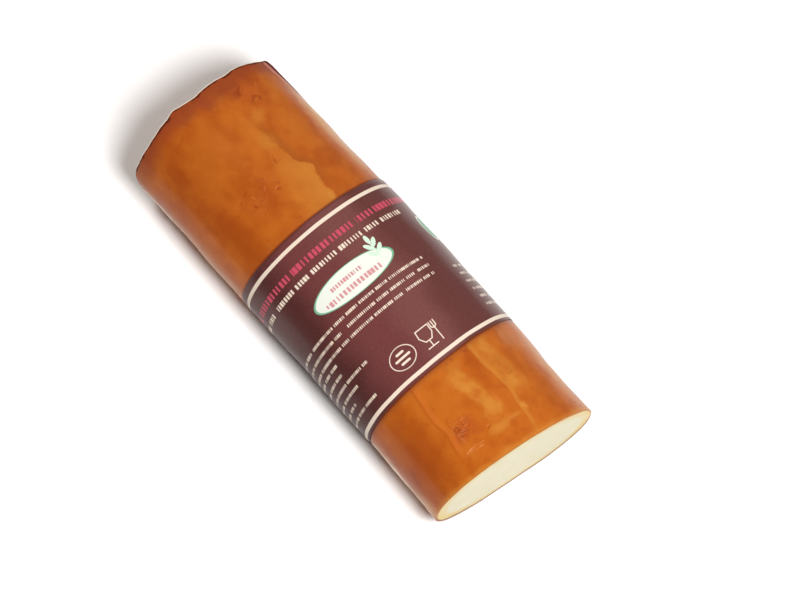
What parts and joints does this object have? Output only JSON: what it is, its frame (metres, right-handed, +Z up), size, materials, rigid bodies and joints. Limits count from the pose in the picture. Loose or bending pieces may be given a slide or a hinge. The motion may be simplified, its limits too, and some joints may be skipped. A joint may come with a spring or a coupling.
{
  "type": "smoked scamorza",
  "caption": "Loaf-shaped smoked cheese log with an amber rind, cut straight across at one end to show ivory paste, with a paper band round its middle.",
  "frame": {"origin": "under the middle of the log's box, at the height of the base that it rests on", "axes": "+X along the log from its moulded end towards the cut face, +Z up, -Y the side that the picture's camera is on"},
  "size_m": [0.2488, 0.0951, 0.0642],
  "materials": {
    "rind": "smoked amber-brown rind under a tight clear film, satin to glossy; ivory moist paste at the cut face, browned at its edge",
    "label": "smooth coated paper, maroon-brown, with two cream border stripes and rows of plain printed blocks"
  },
  "bodies": {
    "root": {"cheese": "rind", "label": "label"}
  },
  "joints": []
}
